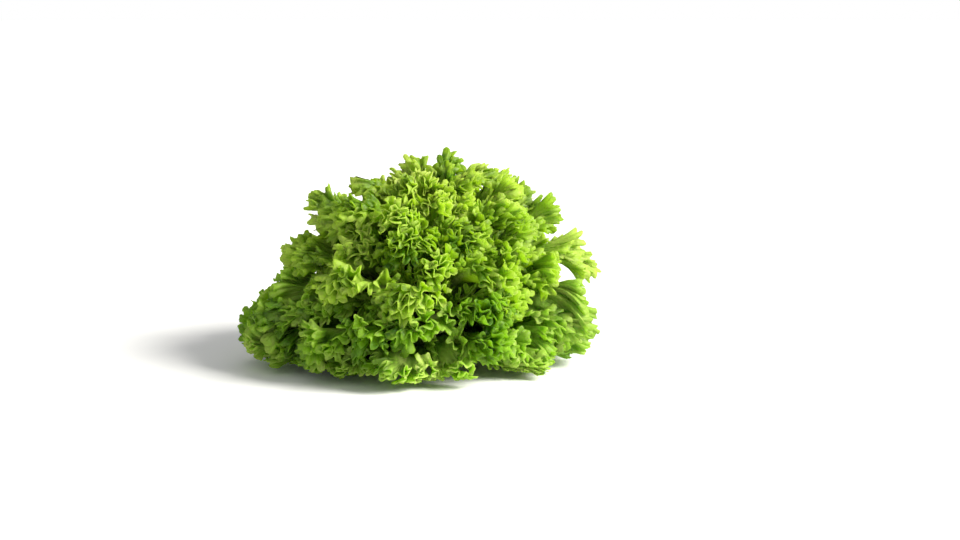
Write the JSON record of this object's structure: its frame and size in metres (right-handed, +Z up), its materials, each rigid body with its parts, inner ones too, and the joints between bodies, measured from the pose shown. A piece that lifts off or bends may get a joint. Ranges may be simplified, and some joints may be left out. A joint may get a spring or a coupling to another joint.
{
  "type": "green leaf lettuce head",
  "caption": "Cut head of curly green leaf lettuce: frilled leaves in a low dome-shaped rosette around a short stem, standing on the stem's cut face.",
  "frame": {"origin": "the middle of the cut face under the stem", "axes": "+Z up along the stem, front of the head looks along -Y, +X to the right of the front view and along the widest spread of the leaves"},
  "size_m": [0.2686, 0.2362, 0.1579],
  "materials": {
    "outer_leaf": "satin leaf blade, darker green",
    "middle_leaf": "satin leaf blade, fresh green",
    "heart_leaf": "satin leaf blade, yellow-green",
    "stem": "satin, pale green, freshly cut"
  },
  "bodies": {
    "root": {"stem": "stem", "outer_leaf_01": "outer_leaf", "outer_leaf_02": "outer_leaf", "outer_leaf_03": "outer_leaf", "outer_leaf_04": "outer_leaf", "outer_leaf_05": "outer_leaf", "outer_leaf_06": "outer_leaf", "outer_leaf_07": "outer_leaf", "outer_leaf_08": "outer_leaf", "outer_leaf_09": "outer_leaf", "outer_leaf_10": "outer_leaf", "outer_leaf_11": "outer_leaf", "outer_leaf_12": "outer_leaf", "outer_leaf_13": "outer_leaf", "outer_leaf_14": "outer_leaf", "middle_leaf_15": "middle_leaf", "middle_leaf_16": "middle_leaf", "middle_leaf_17": "middle_leaf", "middle_leaf_18": "middle_leaf", "middle_leaf_19": "middle_leaf", "middle_leaf_20": "middle_leaf", "middle_leaf_21": "middle_leaf", "middle_leaf_22": "middle_leaf", "middle_leaf_23": "middle_leaf", "middle_leaf_24": "middle_leaf", "middle_leaf_25": "middle_leaf", "middle_leaf_26": "middle_leaf", "middle_leaf_27": "middle_leaf", "middle_leaf_28": "middle_leaf", "middle_leaf_29": "middle_leaf", "middle_leaf_30": "middle_leaf", "heart_leaf_31": "heart_leaf", "heart_leaf_32": "heart_leaf", "heart_leaf_33": "heart_leaf", "heart_leaf_34": "heart_leaf", "heart_leaf_35": "heart_leaf", "heart_leaf_36": "heart_leaf", "heart_leaf_37": "heart_leaf", "heart_leaf_38": "heart_leaf", "heart_leaf_39": "heart_leaf", "heart_leaf_40": "heart_leaf"}
  },
  "joints": []
}
